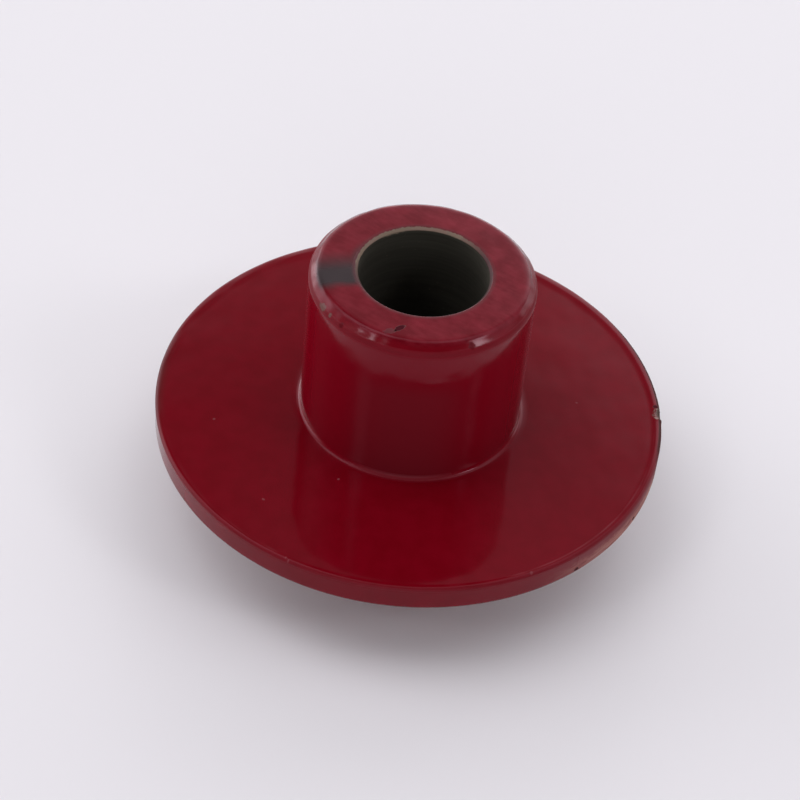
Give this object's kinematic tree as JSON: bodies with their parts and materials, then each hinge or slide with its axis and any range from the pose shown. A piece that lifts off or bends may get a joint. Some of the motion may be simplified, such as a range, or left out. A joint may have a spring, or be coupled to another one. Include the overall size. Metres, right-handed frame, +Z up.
{
  "type": "blade fixing bush",
  "caption": "Turned steel bush with a round flange, a plain spigot above it, a short hub below and a through bore; it centres a mower blade. Glossy red enamel, bare bore.",
  "frame": {"origin": "centre of the hub's lower face, on the bore's axis, where the bush stands", "axes": "+Z up the bore, from the hub to the spigot's end face; +X towards the nick in the flange's edge, within five degrees"},
  "size_m": [0.08, 0.08, 0.044],
  "materials": {
    "red_enamel": "glossy deep red enamel over turned steel, worn thin at the edges; the bore is bare steel"
  },
  "bodies": {
    "root": {"blade_fixing_bush": "red_enamel"}
  },
  "joints": []
}
